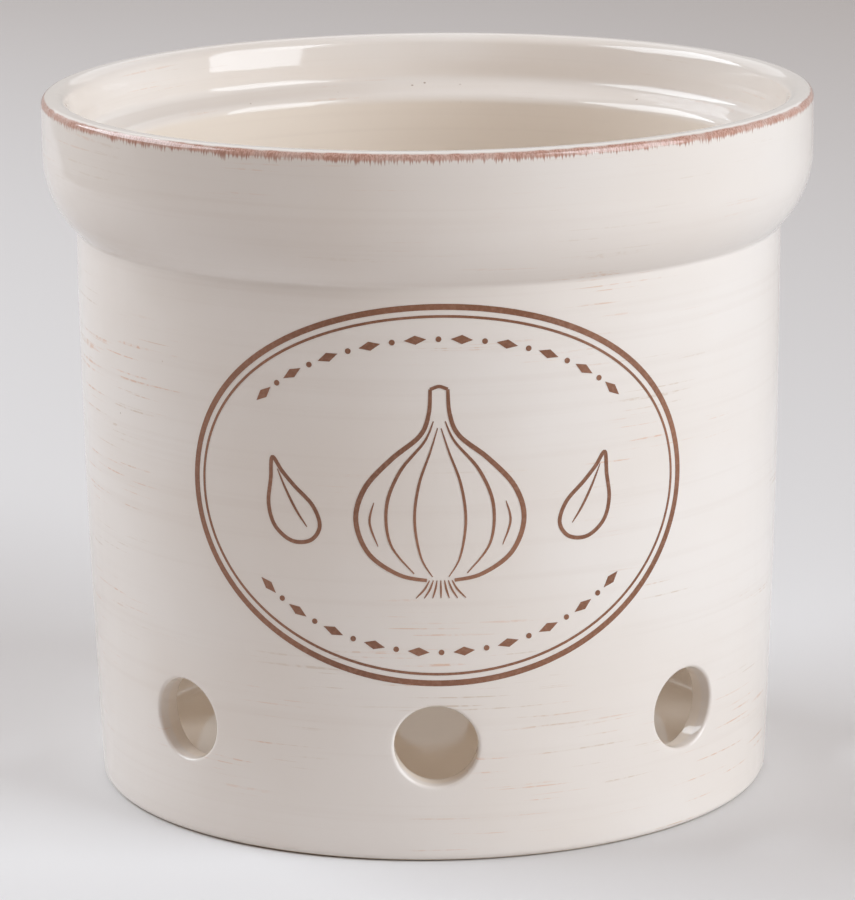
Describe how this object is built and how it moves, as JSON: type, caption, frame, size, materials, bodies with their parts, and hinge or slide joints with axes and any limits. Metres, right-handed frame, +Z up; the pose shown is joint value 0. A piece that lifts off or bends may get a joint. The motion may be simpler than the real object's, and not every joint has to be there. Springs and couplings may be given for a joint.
{
  "type": "garlic keeper",
  "caption": "Open glazed stoneware garlic keeper: round crock with a thick collar, a shouldered mouth, vent holes near the base and a printed oval border.",
  "frame": {"origin": "middle of the foot, on the surface that the crock stands on", "axes": "+Z up along the crock's axis, -Y towards the printed oval, +X to the right of it as seen from the front"},
  "size_m": [0.1398, 0.1398, 0.127],
  "materials": {
    "cream_glaze": "gloss",
    "brown_print": "gloss"
  },
  "bodies": {
    "root": {"crock": "cream_glaze", "oval_border": "brown_print", "oval_inner_line": "brown_print"}
  },
  "joints": []
}
